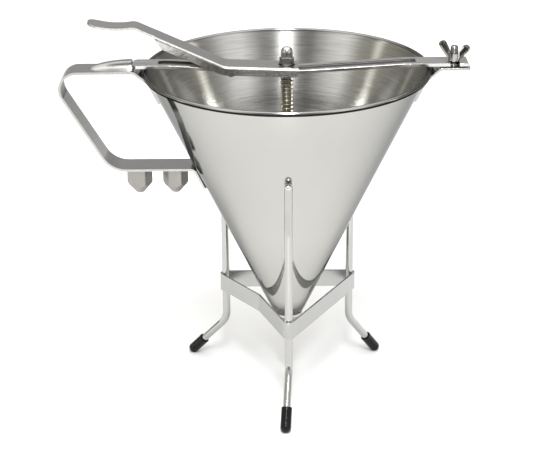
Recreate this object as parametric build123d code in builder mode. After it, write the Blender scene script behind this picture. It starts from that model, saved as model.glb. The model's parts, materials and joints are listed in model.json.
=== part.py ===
# Dosing funnel on a wire stand: a sheet-metal cone whose outlet is shut by a sprung plunger.
# A thumb lever rocks on the crossbar and lifts the plunger; the funnel lifts out of its stand.
# Millimetres, +Z up. The origin is on the floor, under the funnel's axis. The handle points to -X.
from build123d import *
import os
from math import asin, atan2, cos, degrees, hypot, pi, radians, sin, sqrt, tan

# Funnel sheet
rim_diameter = 180.0
rim_bead = 3.0
sheet = 1.0
cone_half_angle = 25.1
rim_height = 218.0
outlet_diameter = 19.0
weld_gap = 0.05

# Flat strip of the handle and of the ear, each overhang measured out from the rim's edge
strip_width = 19.0
strip = 1.5
handle_drop = 64.3
handle_overhang = 59.6
grip_angle = 59.5
handle_top_radius = 11.0
handle_low_radius = 17.0
low_tab_length = 15.0
top_tab_length = 14.5
tab_bend = 4.0
turn_in_overhang = 5.0
tab_leave = 6.4
ear_overhang = 23.5
ear_corner = 1.5

# Pressed pocket in the handle's top run
pocket_overhang = 6.4
pocket_length = 27.5
pocket_height = 5.3
pocket_width = 17.0
pocket_wall = 1.2

# Crossbar
bar_width = 15.0
bar = 2.0
bar_rim_gap = 1.1
bar_handle_gap = 1.2
bar_overhang = 22.4
bar_shoulder = 0.7
bar_bow = 4.3
bar_bow_inset = 16.0
bar_bow_radius = 60.0
bar_corner = 2.0
tongue_root = 7.0
tongue_tip = 3.0
tongue_depth = 4.5
groove_inset = 10.0
groove_width = 7.0
groove_depth = 0.8

# Stud and wing nut
stud_overhang = 14.0
stud_diameter = 5.0
stud_height = 9.3
stud_slot_gap = 0.3
stud_collar = 0.5
stud_collar_diameter = 8.0
stud_chamfer = 1.0
thread_gap = 0.06
hub_height = 4.8
hub_base = 7.2
hub_top = 7.0
wing_reach = 10.8
wing_height = 11.2
wing_tip_radius = 2.4
wing_root_height = 2.4
wing_root_radius = 1.6
wing = 1.8
wing_turn = -39.0

# Thumb lever
lever_width = 18.6
lever_sheet = 1.5
lever_depth = 5.6
lever_corner = 1.8
lever_fulcrum = -36.0
lever_tail = 7.2
lever_gap = 0.2
lever_bend = 10.0
lever_rise = 24.5
lever_slope = 56.6
lever_flange = 44.3
flange_taper = 6.2
tail_corner = 2.5
crest_radius = 8.0
pad_fall = 8.5
pad_radius = 53.0
pad_lift = 20.3
pad_corner = 6.8
lug_inset = 1.6
lug_radius = 2.6
lug_drop = 0.9
slot_back = 2.6
slot_front = 2.4

# Plunger, nut, spring and collar
rod_diameter = 5.0
rod_gap = 0.3
nut_flats = 8.0
nut_hex = 4.8
nut_height = 11.5
nut_dome = 7.5
nut_gap = 0.1
rod_in_nut = 8.0
tip_half_angle = 30.0
tip_flat = 2.6
seat_gap = 0.15
spring_wire = 0.9
spring_wire_sides = 6
spring_diameter = 8.2
spring_length = 31.0
spring_turns = 12
spring_seat_gap = 0.05
collar_diameter = 10.0
collar_height = 5.0
pin_diameter = 2.0
fit_gap = 0.03

# Outlet spigot and nozzles
spigot_thread = 12.0
spigot_bore = 9.6
spigot_thread_length = 8.0
spigot_shoulder = 1.5
spigot_collar = 4.0
hexagon_sides = 6
nozzle_flats = 14.0
nozzle_hex = 9.8
nozzle_cone = 6.4
nozzle_tip = 5.6
nozzle_bore_fitted = 4.0
nozzle_bore_outer = 3.0
nozzle_bore_inner = 2.0
nozzle_seat = 0.1
nozzle_socket = 8.4
spare_cone_gap = 13.5
spare_pitch = 23.0
spare_gap = 0.6
spare_stud_length = 7.6

# Stand
leg_wire = 5.0
leg_neck = 126.43
leg_splay = 40.0
leg_low_bend = 15.0
leg_top_bend = 12.0
leg_tip_height = 165.5
leg_tip_chamfer = 0.8
leg_cone_gap = 0.3
foot_reach = 24.8
foot_drift = 2.5
cap_diameter = 7.0
cap_length = 13.0
cap_flat = 0.4
cap_end_gap = 0.1
band = 1.2
band_height = 12.0
band_low = 54.8
band_fold = 5.7
band_fold_radius = 1.5

# Places worked out from those sizes
slope = radians(cone_half_angle)
rim_radius = rim_diameter / 2
bead_radius = rim_bead / 2
bead_centre = rim_radius - bead_radius
sheet_across = sheet / cos(slope)
bar_low = rim_height + bead_radius + bar_rim_gap
bar_top = bar_low + bar
ear_top = bar_low - stud_collar
ear_mid = ear_top - strip / 2
handle_top = bar_low - bar_handle_gap
handle_mid = handle_top - strip / 2
handle_reach = rim_radius + handle_overhang
strip_turn_in = rim_radius + turn_in_overhang
ear_end = rim_radius + ear_overhang
pocket_mouth = rim_radius + pocket_overhang
stud_x = rim_radius + stud_overhang
bar_right_end = rim_radius + bar_overhang
bar_bow_half = rim_radius - bar_bow_inset
groove_length = 2 * (rim_radius - groove_inset)
bar_slope = atan2(bar_bow, bar_bow_half)


def cone_inside(z):
    """Radius of the sheet's inner face at height z."""
    return bead_centre - bead_radius - (rim_height - z) * tan(slope)


def cone_outside(z):
    """Radius of the sheet's outer face at height z."""
    return cone_inside(z) + sheet_across


def beside_cone(z, distance):
    """Radius of a line that runs beside the cone, a distance off its outer face."""
    return cone_outside(z) + distance / cos(slope)


def bar_top_at(x):
    """Height of the crossbar's bowed top face at x."""
    return bar_top - bar_bow * max(0.0, 1 - abs(x) / bar_bow_half)


def radial_plane(angle, origin=(0, 0, 0)):
    """Upright plane through a point: its x points out at the angle, its y points up."""
    a = radians(angle)
    return Plane(origin=origin, x_dir=(cos(a), sin(a), 0), z_dir=(sin(a), -cos(a), 0))


def hexagon_corner(flats):
    """Distance from a hexagon's axis to its corners."""
    return flats / 2 / cos(pi / hexagon_sides)


def bent_strip(points, bends):
    """Flat strip of the handle's stock, bent along a line in the XZ plane."""
    with BuildPart() as bent:
        with BuildSketch(Plane.XZ):
            with BuildLine():
                FilletPolyline(*points, radius=bends)
            trace(line_width=strip)
        extrude(amount=strip_width / 2, both=True)
    return bent.part


outlet_height = rim_height - (bead_centre - bead_radius + sheet_across - outlet_diameter / 2) / tan(slope)

# Cone with its outward rolled rim
with BuildPart() as funnel_cone:
    with BuildSketch(Plane.XZ):
        with BuildLine():
            Polyline(
                (cone_inside(outlet_height), outlet_height),
                (cone_outside(outlet_height), outlet_height),
                (cone_outside(rim_height), rim_height),
                (cone_inside(rim_height), rim_height),
                close=True,
            )
        make_face()
        with Locations((bead_centre, rim_height)):
            Circle(bead_radius)
    revolve(axis=Axis.Z)
funnel_cone.part.label = "funnel_cone"

# Threaded ring welded into the cone's lower end
shoulder_low = outlet_height - spigot_shoulder
spigot_low = shoulder_low - spigot_thread_length
collar_rim = outlet_height + spigot_collar
with BuildPart() as outlet_spigot:
    with BuildSketch(Plane.XZ):
        with BuildLine():
            Polyline(
                (spigot_bore / 2, spigot_low),
                (spigot_thread / 2, spigot_low),
                (spigot_thread / 2, shoulder_low),
                (outlet_diameter / 2, shoulder_low),
                (outlet_diameter / 2, outlet_height),
                (cone_inside(outlet_height) - weld_gap, outlet_height),
                (cone_inside(collar_rim) - weld_gap, collar_rim),
                (spigot_bore / 2, outlet_height),
                close=True,
            )
        make_face()
    revolve(axis=Axis.Z)
outlet_spigot.part.label = "outlet_spigot"


# Hexagonal nozzles: one on the outlet, two stored under the handle
nozzle_height = nozzle_hex + nozzle_cone
seat_slope = radians(tip_half_angle)


def seat_depth(bore):
    """Depth below a nozzle's top face where its inner cone meets the bore."""
    return nozzle_socket + (spigot_bore - bore) / 2 / tan(seat_slope)


def nozzle(name, x, top, bore):
    """Nozzle with its top face at a height: hexagon, taper, threaded socket, inner cone and bore."""
    corner = hexagon_corner(nozzle_flats)
    low = top - nozzle_height
    with BuildPart() as piece:
        with BuildSketch(Plane((x, 0, low))):
            RegularPolygon(radius=nozzle_flats / 2, side_count=hexagon_sides, major_radius=False)
        extrude(amount=nozzle_height)
        with BuildSketch(Plane.XZ.shift_origin((x, 0, low))):
            with BuildLine():
                Polyline(
                    (0, 0),
                    (nozzle_tip / 2, 0),
                    (corner, nozzle_cone),
                    (corner, nozzle_height),
                    (0, nozzle_height),
                    close=True,
                )
            make_face()
        revolve(axis=Axis((x, 0, 0), (0, 0, 1)), mode=Mode.INTERSECT)
        with BuildSketch(Plane.XZ.shift_origin((x, 0, top))):
            with BuildLine():
                Polyline(
                    (0, 0),
                    (spigot_thread / 2 + thread_gap, 0),
                    (spigot_thread / 2 + thread_gap, -nozzle_socket),
                    (spigot_bore / 2, -nozzle_socket),
                    (bore / 2, -seat_depth(bore)),
                    (bore / 2, -nozzle_height),
                    (0, -nozzle_height),
                    close=True,
                )
            make_face()
        revolve(axis=Axis((x, 0, 0), (0, 0, 1)), mode=Mode.SUBTRACT)
    piece.part.label = name
    return piece


# Handle: one strip from the lower tab round the grip to the upper tab
strip_low_mid = handle_mid - handle_drop
tab_line = strip / 2 + weld_gap
grip_run = handle_drop / tan(radians(grip_angle))
tab_leave_height = rim_height - tab_leave
low_tab_end = strip_low_mid - low_tab_length * cos(slope)
top_tab_end = tab_leave_height - top_tab_length * cos(slope)


def strip_end(level):
    """Line of a strip's end: from its level run it turns in to the cone and lies along it as a tab."""
    return [
        (strip_turn_in, level),
        (beside_cone(tab_leave_height, tab_line), tab_leave_height),
        (beside_cone(top_tab_end, tab_line), top_tab_end),
    ]


handle_points = [
    (-beside_cone(low_tab_end, tab_line), low_tab_end),
    (-beside_cone(strip_low_mid, tab_line), strip_low_mid),
    (-handle_reach + grip_run, strip_low_mid),
    (-handle_reach, handle_mid),
] + [(-x, z) for x, z in strip_end(handle_mid)]
handle_bends = [tab_bend, handle_low_radius, handle_top_radius, tab_bend, tab_bend]

# Pocket: the top run is lanced across and pressed up into a round-nosed shell that is open towards the funnel
pocket_round = (pocket_width ** 2 / 4 + pocket_height ** 2) / (2 * pocket_height)
pocket_axis = handle_top + pocket_height - pocket_round
pocket_nose = pocket_length / sqrt(1 - (1 - pocket_height / pocket_round) ** 2)


def pressed_form(inset, low):
    """Form about the pocket's axis, set in from its outer face, cut off under a height."""
    with BuildPart() as form:
        with BuildSketch(Plane.XZ):
            with BuildLine():
                mouth_centre = (-pocket_mouth, pocket_axis)
                nose = EllipticalCenterArc(mouth_centre, pocket_nose - inset, pocket_round - inset, 90, arc_size=90)
                Polyline(nose @ 1, mouth_centre, nose @ 0)
            make_face()
        revolve(axis=Axis((-pocket_mouth, 0, pocket_axis), (1, 0, 0)))
        split(bisect_by=Plane.XY.offset(low), keep=Keep.TOP)
    return form.part


with BuildPart() as handle_strip:
    add(bent_strip(handle_points, handle_bends))
    add(pressed_form(0, handle_mid))
    add(pressed_form(pocket_wall, handle_top - strip - sheet), mode=Mode.SUBTRACT)
handle_strip.part.label = "handle_strip"

# Threaded studs under the handle and the spare nozzles on them
strip_low_face = strip_low_mid - strip / 2
spare_inner_x = -cone_outside(strip_low_mid) - spare_cone_gap
spare_places = {"outer": spare_inner_x - spare_pitch, "inner": spare_inner_x}
storage_spigots = []
for place, x in spare_places.items():
    with BuildPart() as storage_spigot:
        with BuildSketch(Plane((x, 0, strip_low_face))):
            Circle(spigot_thread / 2)
        extrude(amount=-spare_stud_length)
    storage_spigot.part.label = f"storage_spigot_{place}"
    storage_spigots.append(storage_spigot)

fitted_top = shoulder_low - nozzle_seat
nozzles = [
    nozzle("nozzle_fitted", 0, fitted_top, nozzle_bore_fitted),
    nozzle("nozzle_spare_outer", spare_places["outer"], strip_low_face - spare_gap, nozzle_bore_outer),
    nozzle("nozzle_spare_inner", spare_places["inner"], strip_low_face - spare_gap, nozzle_bore_inner),
]

# Ear bracket with its stud
ear_points = [(ear_end, ear_mid)] + strip_end(ear_mid)
with BuildPart() as ear_bracket:
    add(bent_strip(ear_points, [tab_bend, tab_bend]))
    fillet(ear_bracket.edges().filter_by(Axis.Z).group_by(Axis.X)[-1], ear_corner)
    with Locations((stud_x, 0, ear_top)):
        Hole(stud_diameter / 2 + fit_gap)
ear_bracket.part.label = "ear_bracket"

with BuildPart() as ear_stud:
    with BuildSketch(Plane((stud_x, 0, ear_top - strip))):
        Circle(stud_diameter / 2)
    extrude(amount=strip + stud_collar + bar + stud_height)
    chamfer(ear_stud.edges().group_by(Axis.Z)[-1], stud_chamfer)
    with BuildSketch(Plane((stud_x, 0, ear_top))):
        Circle(stud_collar_diameter / 2)
    extrude(amount=stud_collar)
ear_stud.part.label = "ear_stud"

# Wing nut
wing_tip = (wing_reach - wing_tip_radius, wing_height - wing_tip_radius)
wing_root = (hub_top / 2, wing_root_height)
with BuildPart() as wing_nut:
    with BuildSketch(Plane((stud_x, 0, bar_top))):
        Circle(hub_base / 2)
    with BuildSketch(Plane((stud_x, 0, bar_top + hub_height))):
        Circle(hub_top / 2)
    loft(ruled=True)
    for side in (0, 180):
        with BuildSketch(radial_plane(wing_turn + side, (stud_x, 0, bar_top))):
            with Locations(wing_root):
                Circle(wing_root_radius)
            with Locations(wing_tip):
                Circle(wing_tip_radius)
            make_hull()
        extrude(amount=wing / 2, both=True)
    with Locations((stud_x, 0, bar_top + hub_height)):
        Hole(stud_diameter / 2 + thread_gap)
wing_nut.part.label = "wing_nut"


# Crossbar, bowed down in the middle, with a pressed groove, a tongue for the pocket and a slot for the stud:
# with the wing nut loose, the bar swings off the stud and comes out of the pocket
def bowed_slab(top, depth, width, left, right):
    """Slab between the bar's bowed line at a height and the same line a depth lower."""
    with BuildPart() as slab:
        with BuildSketch(Plane.XZ):
            with BuildLine():
                ends = []
                for z in (top, top - depth):
                    ends.append(FilletPolyline(
                        (left, z), (-bar_bow_half, z), (0, z - bar_bow), (bar_bow_half, z), (right, z),
                        radius=bar_bow_radius,
                    ))
                Line(ends[0] @ 0, ends[1] @ 0)
                Line(ends[0] @ 1, ends[1] @ 1)
            make_face()
        extrude(amount=width / 2, both=True)
    return slab.part


bar_left = -pocket_mouth + bar_shoulder
tongue_end = -pocket_mouth - tongue_depth
bar_plan = Plane.XY.offset(bar_top + bar)
bar_reach = 3 * bar + bar_bow
stud_slot = stud_diameter + 2 * stud_slot_gap


def groove_form(top, depth):
    """Round-ended form along the bar, as wide as the groove, under a bowed line."""
    with BuildPart() as form:
        add(bowed_slab(top, depth, bar_width, bar_left, bar_right_end))
        with BuildSketch(bar_plan):
            SlotOverall(groove_length, groove_width)
        extrude(amount=-bar_reach, mode=Mode.INTERSECT)
    return form.part


with BuildPart() as crossbar:
    add(bowed_slab(bar_top, bar, bar_width, tongue_end, bar_right_end))
    with BuildSketch(bar_plan):
        with BuildLine():
            half = bar_width / 2
            Polyline(
                (bar_right_end, -half),
                (bar_right_end, half),
                (bar_left + bar_corner, half),
                (bar_left, half - bar_corner),
                (bar_left, tongue_root / 2),
                (tongue_end, tongue_tip / 2),
                (tongue_end, -tongue_tip / 2),
                (bar_left, -tongue_root / 2),
                (bar_left, -half + bar_corner),
                (bar_left + bar_corner, -half),
                close=True,
            )
        make_face()
    extrude(amount=-bar_reach, mode=Mode.INTERSECT)
    add(groove_form(bar_top + bar, bar + groove_depth), mode=Mode.SUBTRACT)
    add(groove_form(bar_low + bar / 2, bar / 2 + groove_depth))
    with Locations((0, 0, bar_top)):
        Hole(rod_diameter / 2 + rod_gap)
    with BuildSketch(bar_plan):
        with Locations((stud_x, -bar_width / 2)):
            SlotOverall(bar_width + stud_slot, stud_slot, rotation=90)
    extrude(amount=-bar_reach, mode=Mode.SUBTRACT)
crossbar.part.label = "crossbar"

# Lever: a channel that straddles the crossbar and rocks on the round of its bend, then a bare thumb pad
rise = radians(lever_rise)
fall = radians(pad_fall)
bend_under = lever_bend + lever_sheet
pivot_z = bar_top_at(lever_fulcrum) + lever_gap + bend_under / cos(bar_slope)
tail_drop = pivot_z - (bar_top_at(lever_tail) + lever_gap)
tail_run = lever_tail - lever_fulcrum
lever_dip = atan2(tail_drop, tail_run) - asin(bend_under / hypot(tail_drop, tail_run))
pivot = Vector(lever_fulcrum, 0, pivot_z)
level_way = Vector(-cos(lever_dip), 0, sin(lever_dip))
level_up = Vector(sin(lever_dip), 0, cos(lever_dip))
rise_way = Vector(-cos(rise), 0, sin(rise))
rise_up = Vector(sin(rise), 0, cos(rise))
fall_up = Vector(-sin(fall), 0, cos(fall))
bend_right = pivot - level_up * lever_bend
bend_left = pivot - rise_up * lever_bend


def lever_top_at(x):
    """Height of the top face of the lever's level arm at x, at rest."""
    return bend_right.Z - (x - bend_right.X) * tan(lever_dip)


tail = Vector(lever_tail, 0, lever_top_at(lever_tail))
flange_end = bend_left + rise_way * lever_flange
crest_start = bend_left + rise_way * lever_slope
crest_centre = crest_start - rise_up * crest_radius
pad_centre = crest_centre + fall_up * (crest_radius + pad_radius)
with BuildLine(Plane.XZ) as channel_line:
    Line(tail, bend_right)
    CenterArc(pivot, lever_bend, 270 - degrees(lever_dip), degrees(lever_dip) - lever_rise)
    Line(bend_left, flange_end)
with BuildLine(Plane.XZ) as pad_line:
    Line(flange_end, crest_start)
    CenterArc(crest_centre, crest_radius, 90 - lever_rise, lever_rise + pad_fall)
    CenterArc(pad_centre, pad_radius, 270 + pad_fall, -(pad_fall + pad_lift))
across = (0, -1, 0)
tail_plane = Plane(origin=tail, x_dir=across, z_dir=level_way)
pad_plane = Plane(origin=flange_end, x_dir=across, z_dir=rise_way)
taper_top = flange_end - rise_up * lever_sheet
taper_low = flange_end - rise_up * lever_depth - rise_way * flange_taper
taper_out = taper_low + rise_way * lever_slope
with BuildPart() as lever:
    with BuildSketch(tail_plane) as channel_section:
        Rectangle(lever_width, lever_depth, align=(Align.CENTER, Align.MAX))
        fillet(channel_section.vertices().group_by(Axis.Y)[-1], lever_corner)
        with Locations((0, -lever_depth)):
            Rectangle(
                lever_width - 2 * lever_sheet,
                lever_depth - lever_sheet,
                align=(Align.CENTER, Align.MIN),
                mode=Mode.SUBTRACT,
            )
    sweep(path=channel_line.wire())
    fillet(lever.edges().filter_by(Axis.Y).group_by(Axis.Z)[0], tail_corner)
    with BuildSketch(Plane.XZ):
        with BuildLine():
            Polyline(*[(corner.X, corner.Z) for corner in (taper_top, taper_low, taper_out)], close=True)
        make_face()
    extrude(amount=lever_width / 2, both=True, mode=Mode.SUBTRACT)
    with BuildSketch(pad_plane):
        Rectangle(lever_width - 2 * lever_corner, lever_sheet, align=(Align.CENTER, Align.MAX))
    sweep(path=pad_line.wire())
    fillet(lever.faces().sort_by(Axis.X)[0].edges().sort_by(SortBy.LENGTH)[:2], pad_corner)
    lug_x = lever_fulcrum + lug_inset
    lug_z = lever_top_at(lug_x) - lever_depth - lug_drop + lug_radius
    for side in (1, -1):
        lug_plane = Plane.XZ.offset(side * (lever_width / 2 - lever_sheet / 2))
        with BuildSketch(lug_plane):
            with Locations((lug_x, lug_z)):
                Circle(lug_radius)
        extrude(amount=lever_sheet / 2, both=True)
    with BuildSketch(Plane.XY.offset(lever_top_at(0) + lever_sheet)):
        with Locations(((slot_front - slot_back) / 2, 0)):
            slot_width = rod_diameter + 2 * rod_gap
            SlotOverall(slot_width + slot_front + slot_back, slot_width)
    extrude(amount=-3 * lever_sheet, mode=Mode.SUBTRACT)
lever.part.label = "lever"

# Plunger rod with a conical tip that shuts the fitted nozzle
nut_corner = hexagon_corner(nut_flats)
nut_low = lever_top_at(-nut_corner) + nut_gap
rod_top = nut_low + rod_in_nut
bore_edge = fitted_top - seat_depth(nozzle_bore_fitted)
tip_shift = seat_gap / sin(seat_slope)
cone_top = bore_edge + (rod_diameter - nozzle_bore_fitted) / 2 / tan(seat_slope) + tip_shift
tip_low = cone_top - (rod_diameter - tip_flat) / 2 / tan(seat_slope)
spring_top = bar_low - bar_bow - groove_depth - spring_seat_gap
spring_low = spring_top - spring_length
collar_top = spring_low - spring_seat_gap
pin_height = collar_top - collar_height / 2
with BuildPart() as plunger_rod:
    with BuildSketch(Plane.XZ):
        with BuildLine():
            Polyline(
                (0, tip_low),
                (tip_flat / 2, tip_low),
                (rod_diameter / 2, cone_top),
                (rod_diameter / 2, rod_top),
                (0, rod_top),
                close=True,
            )
        make_face()
    revolve(axis=Axis.Z)
    with BuildSketch(Plane.YZ):
        with Locations((0, pin_height)):
            Circle(pin_diameter / 2 + fit_gap)
    extrude(amount=rod_diameter, both=True, mode=Mode.SUBTRACT)
plunger_rod.part.label = "plunger_rod"

# Domed nut on the rod
dome_radius = nut_dome / 2
nut_bevel = (nut_corner - nut_flats / 2) * tan(seat_slope)
with BuildPart() as cap_nut:
    with BuildSketch(Plane.XY.offset(nut_low)):
        RegularPolygon(radius=nut_flats / 2, side_count=hexagon_sides, major_radius=False)
    extrude(amount=nut_hex)
    with BuildSketch(Plane.XZ.shift_origin((0, 0, nut_low))):
        with BuildLine():
            Polyline(
                (0, 0),
                (nut_flats / 2, 0),
                (nut_corner, nut_bevel),
                (nut_corner, nut_hex - nut_bevel),
                (nut_flats / 2, nut_hex),
                (0, nut_hex),
                close=True,
            )
        make_face()
    revolve(axis=Axis.Z, mode=Mode.INTERSECT)
    with BuildSketch(Plane.XZ.shift_origin((0, 0, nut_low))):
        with BuildLine():
            Polyline(
                (0, nut_height), (0, nut_hex), (dome_radius, nut_hex), (dome_radius, nut_height - dome_radius)
            )
            RadiusArc((dome_radius, nut_height - dome_radius), (0, nut_height), -dome_radius)
        make_face()
    revolve(axis=Axis.Z)
    with BuildSketch(Plane.XY.offset(nut_low)):
        Circle(rod_diameter / 2 + fit_gap)
    extrude(amount=rod_in_nut + fit_gap, mode=Mode.SUBTRACT)
cap_nut.part.label = "cap_nut"

# Collar under the spring, with its cross pin
with BuildPart() as spring_collar:
    with BuildSketch(Plane.XY.offset(collar_top)):
        Circle(collar_diameter / 2)
        Circle(rod_diameter / 2 + fit_gap, mode=Mode.SUBTRACT)
    extrude(amount=-collar_height)
    with BuildSketch(Plane.YZ):
        with Locations((0, pin_height)):
            Circle(pin_diameter / 2 + fit_gap)
    extrude(amount=collar_diameter, both=True, mode=Mode.SUBTRACT)
spring_collar.part.label = "spring_collar"

with BuildPart() as collar_pin:
    with BuildSketch(Plane.YZ):
        with Locations((0, pin_height)):
            Circle(pin_diameter / 2)
    extrude(amount=collar_diameter / 2, both=True)
collar_pin.part.label = "collar_pin"

# Return spring: one wire whose half turns are pairs of arcs, wound down from the origin and then set under the bar
coil_radius = (spring_diameter - spring_wire) / 2
coil_rise = (spring_length - spring_wire) / spring_turns


def on_coil(angle):
    """Point of the wire's centre line at an angle."""
    return Vector(coil_radius * cos(angle), coil_radius * sin(angle), -spring_wire / 2 - coil_rise * angle / (2 * pi))


def along_coil(angle):
    """Direction of the wire as it winds down at an angle."""
    return Vector(-coil_radius * sin(angle), coil_radius * cos(angle), -coil_rise / (2 * pi)).normalized()


def joining_arcs(start, start_way, end, end_way):
    """Two arcs that leave start along start_way, meet smoothly and reach end along end_way."""
    across = end - start
    ways = start_way + end_way
    turn = 2 * (1 - start_way.dot(end_way))
    reach = (-across.dot(ways) + sqrt(across.dot(ways) ** 2 + turn * across.dot(across))) / turn
    first = start + start_way * reach
    second = end - end_way * reach
    middle = (first + second) * 0.5
    TangentArc(start, middle, tangent=start_way)
    TangentArc(middle, end, tangent=(second - first).normalized())


with BuildLine() as spring_line:
    for half_turn in range(2 * spring_turns):
        begin = pi * half_turn
        joining_arcs(on_coil(begin), along_coil(begin), on_coil(begin + pi), along_coil(begin + pi))
with BuildPart() as wound_wire:
    with BuildSketch(Plane(origin=on_coil(0), x_dir=(1, 0, 0), z_dir=along_coil(0))):
        RegularPolygon(radius=spring_wire / 2, side_count=spring_wire_sides)
    sweep(path=spring_line.wire())
with BuildPart() as return_spring:
    with Locations((0, 0, spring_top)):
        add(wound_wire.part)
return_spring.part.label = "return_spring"


def least_gap(wire, thickness, steps):
    """Least clear distance between stretches of a wire more than half a turn apart."""
    points = [wire.position_at(i / steps) for i in range(steps + 1)]
    skip = int(steps * pi * coil_radius / wire.length)
    return min(
        (points[i] - points[j]).length for i in range(steps + 1) for j in range(i + skip, steps + 1)
    ) - thickness


print("return_spring least gap to itself", round(least_gap(spring_line.wire(), spring_wire, 800), 3), "mm")

# Stand: three bent wire legs with push-on caps, and a flat band round them
leg_radius = leg_wire / 2
cap_radius = cap_diameter / 2
foot_height = cap_radius - cap_flat
splay = radians(leg_splay)
leg_beside = leg_radius + leg_cone_gap
leg_circle = beside_cone(leg_neck, leg_beside)
foot_circle = leg_circle + foot_reach
knee_height = foot_height + foot_reach / tan(splay)
leg_places = {"front": -90.0, "right": 30.0, "left": 150.0}
legs = []
foot_caps = []
for place, angle in leg_places.items():
    upright = radial_plane(angle)
    foot = upright.from_local_coords(Vector(foot_circle, foot_height)) - Vector(foot_drift, 0, 0)
    knee = upright.from_local_coords(Vector(leg_circle, knee_height))
    neck = upright.from_local_coords(Vector(leg_circle, leg_neck))
    tip = upright.from_local_coords(Vector(beside_cone(leg_tip_height, leg_beside), leg_tip_height))
    foot_plane = Plane(origin=foot, z_dir=knee - foot)
    with BuildLine() as leg_line:
        FilletPolyline(foot, knee, neck, tip, radius=[leg_low_bend, leg_top_bend])
    with BuildPart() as leg:
        with BuildSketch(foot_plane):
            Circle(leg_radius)
        sweep(path=leg_line.wire())
        chamfer(leg.faces().sort_by(Axis.Z)[-1].edges(), leg_tip_chamfer)
    leg.part.label = f"leg_{place}"
    legs.append(leg)

    with BuildPart() as foot_cap:
        with BuildSketch(foot_plane):
            Circle(cap_radius)
        extrude(amount=cap_length)
        with Locations(foot):
            Sphere(cap_radius)
        with BuildSketch(foot_plane.offset(-cap_end_gap)):
            Circle(leg_radius + fit_gap)
        extrude(amount=cap_length + cap_end_gap, mode=Mode.SUBTRACT)
        split(bisect_by=Plane.XY, keep=Keep.TOP)
    foot_cap.part.label = f"foot_cap_{place}"
    foot_caps.append(foot_cap)

# Band: straight sides between the legs, wrapped round each leg, with one side folded inwards
wrap = leg_radius + fit_gap + band / 2
half_side = leg_circle * cos(radians(30))
fold_out = wrap - band_fold
fold_turn = degrees(asin(wrap / hypot(half_side, fold_out)) - atan2(fold_out, half_side))
leg_centres = {
    place: Vector(leg_circle * cos(radians(angle)), leg_circle * sin(radians(angle)))
    for place, angle in leg_places.items()
}
fold_way = radians(leg_places["left"] + 60)
fold_point = (leg_centres["left"] + leg_centres["front"]) * 0.5
fold_point = fold_point + Vector(cos(fold_way), sin(fold_way)) * fold_out
with BuildPart() as stand_band:
    with BuildSketch(Plane.XY.offset(band_low)):
        with BuildLine():
            right_wrap = CenterArc(leg_centres["right"], wrap, -30, 120)
            left_wrap = CenterArc(leg_centres["left"], wrap, 90, 120 + fold_turn)
            front_wrap = CenterArc(leg_centres["front"], wrap, 210 - fold_turn, 120 + fold_turn)
            Line(right_wrap @ 1, left_wrap @ 0)
            FilletPolyline(left_wrap @ 1, fold_point, front_wrap @ 0, radius=band_fold_radius)
            Line(front_wrap @ 1, right_wrap @ 0)
        trace(line_width=band)
    extrude(amount=band_height)
stand_band.part.label = "stand_band"

# One file for each piece
pieces = [funnel_cone, outlet_spigot, handle_strip, ear_bracket, ear_stud, wing_nut, crossbar, lever]
pieces += [plunger_rod, cap_nut, spring_collar, collar_pin, return_spring, stand_band]
pieces += storage_spigots + nozzles + legs + foot_caps
os.makedirs("parts", exist_ok=True)
for piece in pieces:
    export_step(piece.part, f"parts/{piece.part.label}.step")
print("lever pivot", round(pivot.X, 3), round(pivot.Z, 3))
print("plunger tip", round(tip_low, 3), "nut seat", round(nut_low, 3))
print("spring from", round(spring_low, 3), "to", round(spring_top, 3))
print("spare nozzle at", round(spare_inner_x, 3), "foot circle", round(foot_circle, 3))
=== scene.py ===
import json
from math import acos, atan2, cos, pi, radians, sin, tan

import bmesh
import bpy
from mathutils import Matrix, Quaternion, Vector

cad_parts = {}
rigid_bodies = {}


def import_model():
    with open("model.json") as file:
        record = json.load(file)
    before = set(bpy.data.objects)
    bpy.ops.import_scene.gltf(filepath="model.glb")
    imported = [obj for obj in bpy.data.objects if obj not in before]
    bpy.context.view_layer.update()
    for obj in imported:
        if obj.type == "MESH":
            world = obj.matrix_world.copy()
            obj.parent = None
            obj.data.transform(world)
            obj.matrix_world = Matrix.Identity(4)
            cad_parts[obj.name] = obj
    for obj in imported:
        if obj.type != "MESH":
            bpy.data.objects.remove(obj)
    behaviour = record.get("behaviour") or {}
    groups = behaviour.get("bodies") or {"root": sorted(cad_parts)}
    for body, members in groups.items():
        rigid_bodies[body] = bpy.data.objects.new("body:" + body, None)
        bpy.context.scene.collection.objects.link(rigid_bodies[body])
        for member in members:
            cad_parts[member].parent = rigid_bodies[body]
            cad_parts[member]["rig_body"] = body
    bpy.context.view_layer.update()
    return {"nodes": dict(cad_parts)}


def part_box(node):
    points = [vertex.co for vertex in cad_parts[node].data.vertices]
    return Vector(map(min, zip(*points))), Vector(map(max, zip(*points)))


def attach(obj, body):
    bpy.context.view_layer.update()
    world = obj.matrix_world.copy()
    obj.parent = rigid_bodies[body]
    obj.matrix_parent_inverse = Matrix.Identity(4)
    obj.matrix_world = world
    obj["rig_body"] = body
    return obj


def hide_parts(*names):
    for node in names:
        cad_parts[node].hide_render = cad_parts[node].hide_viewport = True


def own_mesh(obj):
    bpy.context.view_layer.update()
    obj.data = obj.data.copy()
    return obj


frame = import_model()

MM = 0.001

# Camera
camera_place = Vector((-8.2 * MM, -876.5 * MM, 487.4 * MM))
camera_aim = Vector((-8.2 * MM, 0, 111.9 * MM))
camera_roll = radians(-0.49)
camera_lens = 95.7
camera_sensor = 36.0
camera_near = 0.01
camera_far = 50

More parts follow.
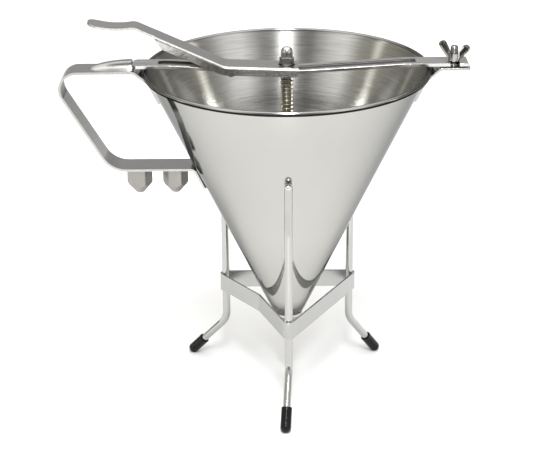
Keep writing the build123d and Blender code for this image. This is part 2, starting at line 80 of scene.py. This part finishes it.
# Funnel sheet
outlet_radius = 9.5 * MM
rim_bead_radius = 1.5 * MM
sheet_thickness = 1.0 * MM
sheet_steps = 288
sheet_rows = 12
bead_steps = 20
lean_rounds = 6
# Turns round the rim's bead: under the first, painted shade on its underside; past the second, a darker
# painted shade on its top and inside
rim_shade_turn = radians(2)
rim_front_turn = radians(40)
sheet_finishes = ["polished_sheet", "brushed_sheet", "rim_bead_painted_shade", "rim_underside_shade"]

# Return spring
spring_wire_radius = 0.62 * MM
spring_turns = 12
spring_end_turns = 0.75
spring_end_pitch = 2.4 * spring_wire_radius
spring_steps = 28
spring_wire_steps = 10

# Ear stud
stud_x = 104.0 * MM
stud_radius = 2.5 * MM
stud_collar_height = 0.5 * MM
stud_pitch = 0.8 * MM
stud_thread_depth = 0.42 * MM
stud_chamfer = 0.9 * MM
stud_steps = 40
stud_rows_per_turn = 8

# Rounded edges
strip_edge = 0.35 * MM
crossbar_edge = 0.8 * MM
lever_edge = 0.6 * MM
band_edge = 0.25 * MM
wing_nut_edge = 0.5 * MM
cap_nut_edge = 0.2 * MM
nozzle_edge = 0.3 * MM
foot_cap_edge = 0.3 * MM
edge_steps = 3
merge_distance = 0.002 * MM
flat_angle = radians(0.6)
sharp_angle = radians(32)
evened_weight = 80

# Material slot of a second finish on a rounded piece
second_slot = 1

# Dished faces of the wing nut
dish_least_area = 25 * MM * MM
dish_rim = 1.1 * MM
dish_depth = 0.5 * MM

# Inside of the handle's upper left bend, which takes painted shade: where its faces look, and above which
# height
bend_facing = 0.5
bend_slope = 0.49
bend_low = 200 * MM

# Legs, their domed tips and the tack welds on the band
leg_bearings = {"front": radians(270), "right": radians(30), "left": radians(150)}
leg_wire_radius = 2.5 * MM
leg_circle = 48.3 * MM
leg_tip_chamfer = 0.8 * MM
leg_tip_rise = 1.8 * MM
weld_out = 1.3 * MM
weld_aside = 2.2 * MM
weld_sunk = 0.5 * MM
weld_radius = 1.1 * MM
weld_height = 1.2 * MM
dome_steps = 8

# Marks counted along X, Y and Z, in steps per metre
sheet_marks = (14, 14, 9)
brushed_marks = (22, 22, 22)
rolled_grain = (60, 2400, 2400)
rubbed_patches = (70, 110, 110)
press_peel = (520, 520, 520)
plated_marks = (55, 55, 55)
lathe_rings = (30, 30, 3200)
lathe_marks = (160, 160, 160)
vinyl_dimples = (500, 500, 500)
vinyl_scuffs = (180, 180, 180)
paper_fibre = (90, 90, 90)
drawn_along = 40

# Marks that run round the cone: steps round it, and steps per metre up
polish_rings = (3, 900)
polish_waves = (1.4, 14)
brush_fine = (5, 1500)
brush_broad = (2.5, 600)
axis_gap = 0.1 * MM

# Depth of the marks
polish_depth = 0.07 * MM
brush_depth = 0.04 * MM
roll_depth = 0.02 * MM
press_depth = 0.15 * MM
plated_depth = 0.025 * MM
lathe_depth = 0.02 * MM
dimple_depth = 0.05 * MM

# Cone finish: painted light that brightens it towards the bottom, its tint seen edge-on, and how far lights
# are drawn out
painted_light_top = 190 * MM
painted_light_fade = 70 * MM
sheet_edge_on = (0.38, 0.385, 0.39, 1)
polish_stretch = 0.25
brush_stretch = 0.7
quarter_turn = 0.25

# Crossbar groove with its walls, which take painted shade, and the lever's flanges, which look sideways and
# take painted light
groove_half_width = 3.9 * MM
groove_half_length = 80.1 * MM
flange_facing = 0.6

# Shades of the room by turn: behind the funnel, left, the camera's side, right, and behind again
room_shades = [
    (0.0, (0.55, 0.547, 0.542)),
    (0.07, (0.44, 0.435, 0.43)),
    (0.14, (0.26, 0.25, 0.225)),
    (0.2325, (0.50, 0.485, 0.41)),
    (0.25, (1.6, 1.57, 1.44)),
    (0.2675, (0.44, 0.43, 0.35)),
    (0.30, (0.56, 0.55, 0.50)),
    (0.34, (1.42, 1.41, 1.36)),
    (0.38, (1.16, 1.15, 1.12)),
    (0.435, (0.30, 0.297, 0.29)),
    (0.50, (0.36, 0.357, 0.352)),
    (0.565, (0.45, 0.448, 0.442)),
    (0.62, (1.42, 1.415, 1.40)),
    (0.66, (1.28, 1.27, 1.25)),
    (0.70, (0.60, 0.59, 0.56)),
    (0.7325, (0.34, 0.33, 0.29)),
    (0.75, (1.8, 1.76, 1.62)),
    (0.7675, (0.40, 0.388, 0.345)),
    (0.86, (0.20, 0.193, 0.175)),
    (0.93, (0.44, 0.435, 0.43)),
    (1.0, (0.55, 0.547, 0.542)),
]

# Dark above the wall behind the funnel
room_dark = (0.03, 0.03, 0.03)
wall_top = 0.53
wall_fade = 0.04
wall_side_fade = 0.25

# Soft lamp on the camera's side, in turns round the room and sines of its height
lamp_shade = (4.0, 3.97, 3.88)
lamp_turn = 0.497
lamp_half_width = 0.048
lamp_softness = 3
lamp_low = 0.30
lamp_high = 0.80
lamp_fade = 0.12

# Floor
floor_half = 4.0

# Sockets of a Mix node that takes colours
mix_under = 6
mix_over = 7
mix_result = 2


class Signal:
    """One output of a node, in a finish or in the room. Arithmetic on it adds Math nodes."""

    def __init__(self, socket):
        self.socket = socket
        self.tree = socket.id_data

    @staticmethod
    def node(tree, kind, settings=None, inputs=None, out=0):
        """Adds a node of a type with its settings, then its inputs, and gives one of its outputs, if any."""
        made = tree.nodes.new(kind)
        for name, value in (settings or {}).items():
            if name == "stops":
                ramp = made.color_ramp
                while len(ramp.elements) < len(value):
                    ramp.elements.new(0.5)
                for element, (place, shade) in zip(ramp.elements, value):
                    element.position = place
                    element.color = (*shade, 1)
            else:
                setattr(made, name, value)
        for name, value in (inputs or {}).items():
            socket = made.inputs[name]
            if isinstance(value, Signal):
                tree.links.new(value.socket, socket)
            else:
                socket.default_value = value
        return Signal(made.outputs[out]) if made.outputs else None

    def part(self, index):
        """Another output of the same node."""
        return Signal(self.socket.node.outputs[index])

    def math(self, operation, *values):
        """Math node on those values, whose order the operation gives."""
        return Signal.node(self.tree, "ShaderNodeMath", {"operation": operation}, dict(enumerate(values)))

    def __add__(self, other):
        return self.math("ADD", self, other)

    __radd__ = __add__

    def __sub__(self, other):
        return self.math("SUBTRACT", self, other)

    def __rsub__(self, other):
        return self.math("SUBTRACT", other, self)

    def __mul__(self, other):
        return self.math("MULTIPLY", self, other)

    __rmul__ = __mul__

    def __truediv__(self, other):
        return self.math("DIVIDE", self, other)

    def __rtruediv__(self, other):
        return self.math("DIVIDE", other, self)

    def __pow__(self, other):
        return self.math("POWER", self, other)

    def __abs__(self):
        return self.math("ABSOLUTE", self)

    def __neg__(self):
        return self.math("MULTIPLY", self, -1)

    def __gt__(self, other):
        return self.math("GREATER_THAN", self, other)

    def __lt__(self, other):
        return self.math("LESS_THAN", self, other)


# Helpers for the finishes
def blank(name):
    """New material without a finish, and the place on the piece, in metres."""
    material = bpy.data.materials.new(name)
    material.use_nodes = True
    material.node_tree.nodes.clear()
    return material, Signal.node(material.node_tree, "ShaderNodeTexCoord", out="Object")


def axes(vector):
    """X, Y and Z of a vector."""
    x = Signal.node(vector.tree, "ShaderNodeSeparateXYZ", None, {"Vector": vector})
    return x, x.part(1), x.part(2)


def stretched(place, steps):
    """Place counted in steps along X, Y and Z."""
    return Signal.node(
        place.tree, "ShaderNodeVectorMath", {"operation": "MULTIPLY"}, {0: place, 1: steps}
    )


def wound(place, steps):
    """Place on a round piece: direction from the Z axis and height, each counted in its own steps."""
    around, along = steps
    x, y, z = axes(place)
    radius = (x * x + y * y) ** 0.5 + axis_gap
    return Signal.node(
        place.tree,
        "ShaderNodeCombineXYZ",
        None,
        {"X": x / radius * around, "Y": y / radius * around, "Z": z * along},
    )


def limited(value):
    """That value, held between 0 and 1."""
    return Signal.node(value.tree, "ShaderNodeClamp", None, {"Value": value})


def noise(place, detail=2.0, roughness=0.5):
    """Cloudy values from 0 to 1."""
    return Signal.node(
        place.tree,
        "ShaderNodeTexNoise",
        None,
        {"Vector": place, "Scale": 1.0, "Detail": detail, "Roughness": roughness},
    )


def tone(mask, under, over):
    """Colour between two, by a mask. Each is a plain colour or a signal."""
    ends = [end if isinstance(end, Signal) else (*end, 1) for end in (under, over)]
    return Signal.node(
        mask.tree,
        "ShaderNodeMix",
        {"data_type": "RGBA"},
        {"Factor": mask, mix_under: ends[0], mix_over: ends[1]},
        out=mix_result,
    )


def bumped(height, depth):
    """Normal raised by a height of 0 to 1 times a depth in metres."""
    return Signal.node(
        height.tree, "ShaderNodeBump", None, {"Strength": 1.0, "Distance": depth, "Height": height}
    )


def surface(material, inputs):
    """Principled shader with those inputs, as the material's surface."""
    tree = material.node_tree
    shader = Signal.node(tree, "ShaderNodeBsdfPrincipled", None, inputs)
    Signal.node(tree, "ShaderNodeOutputMaterial", None, {"Surface": shader})
    return material


def strip_marks(place):
    """Fine grain along a rolled strip, and a few rubbed patches."""
    grain = noise(stretched(place, rolled_grain))
    rubs = noise(stretched(place, rubbed_patches), detail=4, roughness=0.6)
    return grain, rubs


# Finishes
def polished_sheet(name, dark, light, roughness):
    """Cone outside and its rim: mirror polished, with faint rings from the wheel and handling marks."""
    material, place = blank(name)
    marks = noise(stretched(place, sheet_marks), detail=4)
    rings = noise(wound(place, polish_rings))
    waves = noise(wound(place, polish_waves), detail=1)
    z = axes(place)[2]
    # Painted light: the cone's colour brightens towards its bottom
    painted_light_mask = limited((painted_light_top - z) / painted_light_fade)
    return surface(material, {
        "Base Color": tone(marks * 0.5 + painted_light_mask * 0.5, dark, light),
        "Metallic": 1.0,
        "Specular Tint": sheet_edge_on,
        "Roughness": roughness + marks * 0.06 + rings * 0.02,
        "Normal": bumped(rings * 0.02 + waves, polish_depth),
        "Anisotropic": polish_stretch,
        "Anisotropic Rotation": quarter_turn,
    })


def brushed_sheet():
    """Cone inside: brushed round and round, so that lights draw out into upright streaks."""
    material, place = blank("brushed_sheet")
    fine = noise(wound(place, brush_fine), detail=3, roughness=0.6)
    broad = noise(wound(place, brush_broad), detail=3)
    marks = noise(stretched(place, brushed_marks), detail=3)
    grain = fine * 0.65 + broad * 0.35
    return surface(material, {
        "Base Color": tone((grain - 0.25) * 2, (0.36, 0.357, 0.347), (0.53, 0.526, 0.512)),
        "Metallic": 0.98,
        "Roughness": 0.09 + grain * 0.09 + marks * 0.04,
        "Normal": bumped(grain, brush_depth),
        "Anisotropic": brush_stretch,
        "Anisotropic Rotation": quarter_turn,
    })


def strip_metal(name, dark, light, roughness, edge_on=1.0):
    """Rolled strip: satin faces. Below 1, edge_on darkens it where it is seen edge-on."""
    material, place = blank(name)
    grain, rubs = strip_marks(place)
    return surface(material, {
        "Base Color": tone(grain * 0.5 + rubs * 0.5, dark, light),
        "Metallic": 1.0,
        "Specular Tint": (edge_on, edge_on, edge_on, 1),
        "Roughness": roughness + grain * 0.07 + rubs * 0.08,
        "Normal": bumped(grain * 0.5 + rubs, roll_depth),
    })


def bar_metal():
    """Crossbar: satin strip whose pressed groove is rougher, and darkened with painted shade."""
    material, place = blank("satin_crossbar")
    grain, rubs = strip_marks(place)
    x, y, _ = axes(place)
    groove = (abs(y) < groove_half_width) * (abs(x) < groove_half_length)
    shine = grain * 0.5 + rubs * 0.5
    # Painted shade: inside the groove the colour is held near-black
    return surface(material, {
        "Base Color": tone(shine * (1 - groove), (0.13, 0.127, 0.122), (1.0, 0.99, 0.97)),
        "Metallic": 1.0,
        "Roughness": 0.15 + shine * 0.1 + groove * 0.15,
        "Normal": bumped(grain * 0.5 + rubs, roll_depth),
    })


def lever_metal():
    """Pressed lever: satin top, with orange-peel marks from the press on its flanges, which are coloured
    brighter as painted light.
    """
    material, place = blank("lever_metal")
    grain = noise(stretched(place, rolled_grain))
    peel = noise(stretched(place, press_peel), detail=3, roughness=0.65)
    facing = Signal.node(place.tree, "ShaderNodeNewGeometry", out="True Normal")
    flange_sheen_and_peel = abs(axes(facing)[1]) > flange_facing
    # Painted light: faces that look sideways, the flanges, are coloured brighter than the top
    shine = grain * 0.3 + 0.25 + flange_sheen_and_peel * 0.35
    speckle = (peel - 0.5) * (flange_sheen_and_peel * 1.4 + 0.3)
    return surface(material, {
        "Base Color": tone(shine + speckle, (0.29, 0.287, 0.28), (0.68, 0.672, 0.655)),
        "Metallic": 1.0,
        "Roughness": 0.16 + grain * 0.06 + peel * 0.06,
        "Normal": bumped(grain * 0.1 + peel * flange_sheen_and_peel, press_depth),
    })


def bright_metal(name, dark, light, roughness, lines):
    """Bright polished or plated metal with faint marks, and with lines drawn along Z, so many to a metre."""
    material, place = blank(name)
    drawn = noise(stretched(place, (lines, lines, drawn_along)))
    marks = noise(stretched(place, plated_marks), detail=4)
    return surface(material, {
        "Base Color": tone(marks * 0.6 + drawn * 0.4, dark, light),
        "Metallic": 1.0,
        "Roughness": roughness + marks * 0.06 + drawn * 0.05,
        "Normal": bumped(drawn * 0.4 + marks, plated_depth),
    })


def turned_metal(name, dark, light, roughness):
    """Turned on a lathe: fine rings of tool marks up the piece."""
    material, place = blank(name)
    rings = noise(stretched(place, lathe_rings))
    marks = noise(stretched(place, lathe_marks), detail=3)
    return surface(material, {
        "Base Color": tone(marks * 0.6 + rings * 0.4, dark, light),
        "Metallic": 1.0,
        "Roughness": roughness + rings * 0.09 + marks * 0.06,
        "Normal": bumped(rings + marks * 0.5, lathe_depth),
    })


def dipped_vinyl():
    """Foot caps: dipped black vinyl, glossy, with a faint dimpling."""
    material, place = blank("dipped_vinyl")
    dimples = noise(stretched(place, vinyl_dimples))
    scuffs = noise(stretched(place, vinyl_scuffs), detail=4, roughness=0.65)
    return surface(material, {
        "Base Color": tone(scuffs, (0.002, 0.002, 0.0022), (0.008, 0.008, 0.0085)),
        "Roughness": 0.08 + scuffs * 0.14,
        "Normal": bumped(dimples, dimple_depth),
        "Specular IOR Level": 0.2,
    })


def pale_floor():
    """Paper sweep that the funnel stands on."""
    material, place = blank("pale_floor")
    fibre = noise(stretched(place, paper_fibre), detail=4)
    return surface(material, {
        "Base Color": tone(fibre, (0.90, 0.90, 0.90), (0.93, 0.93, 0.93)),
        "Roughness": 0.75,
        "Specular IOR Level": 0.2,
    })


finishes = {
    "polished_sheet": polished_sheet("polished_sheet", (0.38, 0.377, 0.365), (0.48, 0.476, 0.453), 0.04),
    # Painted shade on the rim's bead: a darker copy of the cone's finish for its top and inside, and a
    # near-black finish for its underside
    "rim_bead_painted_shade": polished_sheet("rim_bead_painted_shade", (0.27, 0.267, 0.26), (0.33, 0.327, 0.32), 0.09),
    "rim_underside_shade": strip_metal("painted_shade_under_rim", (0.01, 0.0096, 0.009), (0.026, 0.025, 0.0235), 0.35, 0.3),
    "brushed_sheet": brushed_sheet(),
    "strip_steel": strip_metal("satin_strip", (0.37, 0.367, 0.36), (0.45, 0.446, 0.437), 0.17),
    # Painted shade: a duller copy of the strip's finish, darker seen edge-on, for the inside of the handle's
    # upper bend
    "bent_strip": strip_metal("bent_strip", (0.37, 0.367, 0.36), (0.45, 0.446, 0.437), 0.25, 0.38),
    "bar_steel": bar_metal(),
    "lever_steel": lever_metal(),
    "turned_steel": turned_metal("turned_rod", (0.38, 0.373, 0.36), (0.50, 0.492, 0.475), 0.16),
    # Painted shade: a dark copy of the nut's plating for the wing nut's dished faces
    "painted_shade_dish": bright_metal("wing_nut_painted_shade", (0.11, 0.107, 0.1), (0.19, 0.186, 0.178), 0.12, 300),
    "nut_steel": bright_metal("plated_nut", (0.34, 0.334, 0.322), (0.44, 0.434, 0.42), 0.06, 300),
    "cap_nut_steel": bright_metal("plated_cap_nut", (0.44, 0.434, 0.42), (0.55, 0.543, 0.53), 0.07, 300),
    "stud_steel": turned_metal("turned_stud", (0.15, 0.147, 0.142), (0.21, 0.206, 0.2), 0.2),
    # Painted light: a brighter copy of the legs' wire for their domed tips
    "leg_tip_painted_light": bright_metal("painted_light_leg_tip", (0.66, 0.66, 0.65), (0.76, 0.76, 0.75), 0.08, 260),
    "nozzle_steel": turned_metal("turned_nozzle", (0.26, 0.251, 0.236), (0.33, 0.319, 0.302), 0.34),
    "spring_steel": bright_metal("drawn_spring_wire", (0.33, 0.29, 0.215), (0.50, 0.45, 0.35), 0.14, 200),
    "stand_steel": bright_metal("bright_stand_wire", (0.37, 0.37, 0.362), (0.43, 0.43, 0.42), 0.11, 260),
    "band_steel": bright_metal("satin_stand_band", (0.34, 0.34, 0.335), (0.40, 0.40, 0.395), 0.2, 200),
    "foot_vinyl": dipped_vinyl(),
}


# Helpers for the pieces
def meshed(name, form):
    """Smooth mesh of a bmesh, which is then freed."""
    bmesh.ops.recalc_face_normals(form, faces=form.faces)
    mesh = bpy.data.meshes.new(name)
    for face in form.faces:
        face.smooth = True
    form.to_mesh(mesh)
    form.free()
    return mesh


def placed(name, form, body, slots):
    """New piece from a bmesh, riding on a body, with a finish for each material slot."""
    piece = bpy.data.objects.new(name, meshed(name, form))
    bpy.context.scene.collection.objects.link(piece)
    for slot in slots:
        piece.data.materials.append(finishes[slot])
    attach(piece, body)
    return piece


def ring(form, radii, z, centre_x=0.0):
    """Row of corners at one height round an upright axis, with a radius for each."""
    turns = [2 * pi * i / len(radii) for i in range(len(radii))]
    return [form.verts.new((centre_x + r * cos(t), r * sin(t), z)) for r, t in zip(radii, turns)]


def neighbours(row):
    """Each corner of a closed row with the next one."""
    return list(zip(row, row[1:] + row[:1]))


def rows_joined(form, rows):
    """Faces between neighbouring rows of corners, all the way round."""
    faces = []
    for low, high in zip(rows, rows[1:]):
        for (a, b), (c, d) in zip(neighbours(low), neighbours(high)):
            faces.append(form.faces.new((a, b, d, c)))
    return faces


def closed_bar(form, rows):
    """Faces between rows of corners, with one more over the first row and one over the last."""
    rows_joined(form, rows)
    form.faces.new(rows[0])
    form.faces.new(rows[-1])


# Funnel cone with its rolled rim, polished outside and brushed inside, with painted shade on the rim's bead
def funnel_sheet():
    low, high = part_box("funnel_cone")
    bead_r = high[0] - rim_bead_radius
    bead_z = high[2] - rim_bead_radius
    inside_rim = bead_r - rim_bead_radius
    lean = atan2(inside_rim - outlet_radius, bead_z - low[2])
    # The sheet's width across and its lean depend on each other
    for _ in range(lean_rounds):
        across = sheet_thickness / cos(lean)
        lean = atan2(inside_rim + across - outlet_radius, bead_z - low[2])
    across = sheet_thickness / cos(lean)
    form = bmesh.new()

    def level(radius, z):
        """Row of corners round the cone at a height."""
        return ring(form, [radius] * sheet_steps, z)

    def inside(z):
        """Radius of the cone's inner face at a height."""
        return inside_rim - (bead_z - z) * tan(lean)

    sunk = (bead_r - inside_rim - across) * cos(lean) / rim_bead_radius
    start = -lean - acos(-sunk)
    turns = [start + (pi - start) * i / bead_steps for i in range(bead_steps + 1)]
    bead = [(bead_r + rim_bead_radius * cos(t), bead_z + rim_bead_radius * sin(t)) for t in turns]
    heights = [low[2] + (bead[0][1] - low[2]) * i / sheet_rows for i in range(sheet_rows + 1)]
    outside = [level(inside(z) + across, z) for z in heights]
    curl = [level(r, z) for r, z in bead[1:]]
    within = [level(inside(z), z) for z in reversed(heights)]
    rows_joined(form, outside)
    # Painted shade: the bead's underside takes the near-black finish, and its top and inside take the darker
    # copy of the cone's finish
    for i, face in enumerate(rows_joined(form, [outside[-1]] + curl)):
        turn = turns[i // sheet_steps]
        if turn < rim_shade_turn:
            face.material_index = sheet_finishes.index("rim_underside_shade")
        elif turn > rim_front_turn:
            face.material_index = sheet_finishes.index("rim_bead_painted_shade")
    for face in rows_joined(form, [curl[-1]] + within + [outside[0]]):
        face.material_index = sheet_finishes.index("brushed_sheet")
    for pair in neighbours(outside[-1]):
        form.edges.get(pair).smooth = False
    piece = placed("funnel_sheet", form, "funnel", sheet_finishes)
    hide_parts("funnel_cone")


funnel_sheet()


# Pieces that keep their solid's form and get rounded edges
def rounded_copy(node, finish, edge, dish_shade=None):
    """Copy of a node in its place, with rounded edges. With a dish shade, its broad faces are dished and
    take that finish, a painted shade.
    """
    source = frame["nodes"][node]
    form = bmesh.new()
    form.from_mesh(source.data)
    bmesh.ops.remove_doubles(form, verts=form.verts, dist=merge_distance)
    bmesh.ops.dissolve_limit(form, angle_limit=flat_angle, verts=form.verts, edges=form.edges)
    slots = [finish]
    if dish_shade:
        slots.append(dish_shade)
        broad = [face for face in form.faces if face.calc_area() > dish_least_area]
        bmesh.ops.inset_individual(form, faces=broad, thickness=dish_rim, depth=-dish_depth)
        for face in broad:
            face.material_index = second_slot
    piece = placed(node + "_finished", form, source["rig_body"], slots)
    # The solid's own normals would hide the rounding
    if "custom_normal" in piece.data.attributes:
        piece.data.attributes.remove(piece.data.attributes["custom_normal"])
    rounding = piece.modifiers.new("rounded_edges", "BEVEL")
    rounding.width = edge
    rounding.segments = edge_steps
    rounding.limit_method = "ANGLE"
    rounding.angle_limit = sharp_angle
    rounding.use_clamp_overlap = True
    evened = piece.modifiers.new("evened_normals", "WEIGHTED_NORMAL")
    evened.keep_sharp = True
    evened.weight = evened_weight
    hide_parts(node)
    return piece


def shade_inner_bend(handle):
    """Inner faces of the handle's upper left bend: duller, with painted shade where they are seen edge-on.
    """
    handle.data.materials.append(finishes["bent_strip"])
    for face in handle.data.polygons:
        looks_in = face.normal.x > bend_facing and face.normal.z < bend_slope
        if looks_in and face.center.z > bend_low:
            face.material_index = second_slot


shade_inner_bend(rounded_copy("handle_strip", "strip_steel", strip_edge))
rounded_copy("ear_bracket", "strip_steel", strip_edge)
rounded_copy("crossbar", "bar_steel", crossbar_edge)
rounded_copy("lever", "lever_steel", lever_edge)
rounded_copy("stand_band", "band_steel", band_edge)
rounded_copy("wing_nut", "nut_steel", wing_nut_edge, dish_shade="painted_shade_dish")
rounded_copy("cap_nut", "cap_nut_steel", cap_nut_edge)
for nozzle in ("nozzle_fitted", "nozzle_spare_outer", "nozzle_spare_inner"):
    rounded_copy(nozzle, "nozzle_steel", nozzle_edge)
for foot_cap in ("foot_cap_front", "foot_cap_left", "foot_cap_right"):
    rounded_copy(foot_cap, "foot_vinyl", foot_cap_edge)


# Solids that only get their finish
def finished(finish, *nodes):
    for node in nodes:
        slots = frame["nodes"][node].data.materials
        slots.clear()
        slots.append(finishes[finish])


finished("stand_steel", "leg_front", "leg_left", "leg_right")
finished("turned_steel", "outlet_spigot", "plunger_rod", "spring_collar", "collar_pin")
finished("turned_steel", "storage_spigot_outer", "storage_spigot_inner")


# Domed upper ends of the legs, and the tack welds that hold the band to them
def dome(name, centre, way, radius, height, finish):
    """Half of a flattened ball on a base circle, pointing along a direction."""
    form = bmesh.new()
    turn = Vector(way).to_track_quat("Z", "Y")
    rows = []
    for i in range(dome_steps):
        lift = pi / 2 * i / dome_steps
        row = []
        for k in range(4 * dome_steps):
            t = pi / 2 * k / dome_steps
            spoke = Vector((radius * cos(lift) * cos(t), radius * cos(lift) * sin(t), height * sin(lift)))
            row.append(form.verts.new(centre + turn @ spoke))
        rows.append(row)
    rows_joined(form, rows)
    peak = form.verts.new(centre + turn @ Vector((0, 0, height)))
    for pair in neighbours(rows[-1]):
        form.faces.new((*pair, peak))
    form.faces.new(rows[0])
    piece = placed(name, form, "stand", [finish])


def leg_tip(leg):
    """Dome over a leg's chamfered upper end, in a brighter finish that is painted light."""
    wire = frame["nodes"]["leg_" + leg]
    # The flat end is the highest face, where looking up counts for as much as a millimetre
    end = max(wire.data.polygons, key=lambda face: face.center.z + face.normal.z * MM)
    way = wire.matrix_world.to_3x3() @ end.normal
    corners = [wire.matrix_world @ corner.co for corner in wire.data.vertices]
    level = max(corner.dot(way) for corner in corners)
    rim = [corner for corner in corners if level - corner.dot(way) < merge_distance]
    centre = sum(rim, Vector()) / len(rim)
    base = centre - way * leg_tip_chamfer
    dome("leg_tip_" + leg, base, way, leg_wire_radius, leg_tip_rise, "leg_tip_painted_light")


def tack_welds(leg, bearing):
    """Two small beads on the band's upper edge, one at each side of a leg."""
    out = Vector((cos(bearing), sin(bearing), 0))
    aside = Vector((-out.y, out.x, 0))
    for side, turn in (("a", 1), ("b", -1)):
        base = out * (leg_circle + weld_out) + aside * turn * weld_aside
        base.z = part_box("stand_band")[1][2] - weld_sunk
        dome(f"tack_weld_{leg}_{side}", base, (0, 0, 1), weld_radius, weld_height, "stand_steel")


for leg, bearing in leg_bearings.items():
    leg_tip(leg)
    tack_welds(leg, bearing)


# Return spring: one wire wound round the rod, its end turns lying closer
def spring_coil():
    low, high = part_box("return_spring")
    coil_radius = (high[0] - low[0]) / 2 - spring_wire_radius
    top = high[2] - spring_wire_radius
    bottom = low[2] + spring_wire_radius
    open_turns = spring_turns - 2 * spring_end_turns
    open_pitch = (top - bottom - 2 * spring_end_turns * spring_end_pitch) / open_turns
    up = Vector((0, 0, 1))
    form = bmesh.new()
    rows = []
    for i in range(int(spring_turns * spring_steps) + 1):
        turn = i / spring_steps
        opened = min(max(turn - spring_end_turns, 0), open_turns)
        fallen = open_pitch * opened + spring_end_pitch * (turn - opened)
        out = Vector((cos(2 * pi * turn), sin(2 * pi * turn), 0))
        centre = out * coil_radius + up * (top - fallen)
        row = []
        for k in range(spring_wire_steps):
            t = 2 * pi * k / spring_wire_steps
            row.append(form.verts.new(centre + (out * cos(t) + up * sin(t)) * spring_wire_radius))
        rows.append(row)
    closed_bar(form, rows)
    piece = placed("spring_coil", form, "funnel", ["spring_steel"])
    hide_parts("return_spring")
    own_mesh(piece)


spring_coil()


# Stud with a rolled thread above its collar
def stud_thread():
    low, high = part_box("ear_stud")
    collar_radius = (high[0] - low[0]) / 2
    strip_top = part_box("ear_bracket")[1][2]
    collar_top = strip_top + stud_collar_height
    thread_length = high[2] - collar_top

    def thread_radii(z):
        """Radii round the thread at a height: one groove that winds up, within the chamfered end."""
        chamfered = stud_radius - max(0, z - (high[2] - stud_chamfer))
        phases = [((z - collar_top) / stud_pitch - k / stud_steps) % 1 for k in range(stud_steps)]
        return [min(stud_radius - stud_thread_depth * abs(2 * phase - 1), chamfered) for phase in phases]

    form = bmesh.new()
    rows = []
    for radius, z in (
        (stud_radius, low[2]),
        (stud_radius, strip_top),
        (collar_radius, strip_top),
        (collar_radius, collar_top),
        (stud_radius, collar_top),
    ):
        rows.append(ring(form, [radius] * stud_steps, z, stud_x))
    count = int(thread_length / stud_pitch * stud_rows_per_turn)
    for i in range(1, count + 1):
        z = collar_top + thread_length * i / count
        rows.append(ring(form, thread_radii(z), z, stud_x))
    closed_bar(form, rows)
    piece = placed("threaded_stud", form, "funnel", ["stud_steel"])
    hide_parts("ear_stud")


stud_thread()


# Studio: pale sweep, room, soft boxes and the camera
def sweep_floor():
    form = bmesh.new()
    corners = ((-1, -1), (1, -1), (1, 1), (-1, 1))
    form.faces.new([form.verts.new((x * floor_half, y * floor_half, 0)) for x, y in corners])
    mesh = meshed("sweep_floor", form)
    mesh.materials.append(pale_floor())
    floor = bpy.data.objects.new("sweep_floor", mesh)
    bpy.context.scene.collection.objects.link(floor)


def room_light():
    """Dim room: walls in shades round the funnel, dark above the wall behind it, and one soft lamp."""
    world = bpy.data.worlds.new("studio_room")
    world.use_nodes = True
    tree = world.node_tree
    tree.nodes.clear()
    x, y, height = axes(Signal.node(tree, "ShaderNodeTexCoord", out="Generated"))
    turn = x.math("ARCTAN2", x, -y) / (2 * pi) + 0.5
    walls = Signal.node(tree, "ShaderNodeValToRGB", {"stops": room_shades}, {"Fac": turn})
    above = limited((height - wall_top) / wall_fade) * limited(y / wall_side_fade)
    lamp = limited(1 - abs(turn - lamp_turn) / lamp_half_width) ** lamp_softness
    lamp = lamp * limited((height - lamp_low) / lamp_fade) * limited((lamp_high - height) / lamp_fade)
    shade = tone(lamp, tone(above, walls, room_dark), lamp_shade)
    light = Signal.node(tree, "ShaderNodeBackground", None, {"Color": shade})
    Signal.node(tree, "ShaderNodeOutputWorld", None, {"Surface": light})
    bpy.context.scene.world = world


def soft_box(name, place, aim, size, power, shape="RECTANGLE", spread=pi):
    """Area light of a width and depth in metres, with its power in watts."""
    light = bpy.data.lights.new(name, "AREA")
    light.shape = shape
    light.size, light.size_y = size
    light.energy = power
    light.spread = spread
    box = bpy.data.objects.new(name, light)
    box.location = place
    box.rotation_mode = "QUATERNION"
    box.rotation_quaternion = (Vector(aim) - Vector(place)).to_track_quat("-Z", "Y")
    bpy.context.scene.collection.objects.link(box)


def camera():
    lens = bpy.data.cameras.new("camera")
    lens.lens = camera_lens
    lens.sensor_width = camera_sensor
    lens.clip_start = camera_near
    lens.clip_end = camera_far
    eye = bpy.data.objects.new("camera", lens)
    eye.location = camera_place
    eye.rotation_mode = "QUATERNION"
    aimed = (camera_aim - camera_place).to_track_quat("-Z", "Y")
    eye.rotation_quaternion = aimed @ Quaternion((0, 0, 1), camera_roll)
    bpy.context.scene.collection.objects.link(eye)
    bpy.context.scene.camera = eye


sweep_floor()
room_light()
soft_box("top_box", place=(0, 0.52, 1.6), aim=(0, 0.45, 0), size=(2.8, 2.0), power=29)
soft_box("key_box", place=(0.02, -0.72, 1.45), aim=(0, -0.1, 0), size=(0.22, 1.0), power=24, shape="ELLIPSE")
soft_box(
    "floor_box", place=(0, -0.35, 0.55), aim=(0, -0.35, 0), size=(0.05, 0.25), power=0.23, spread=radians(18)
)
camera()
bpy.context.scene.view_settings.view_transform = "Standard"
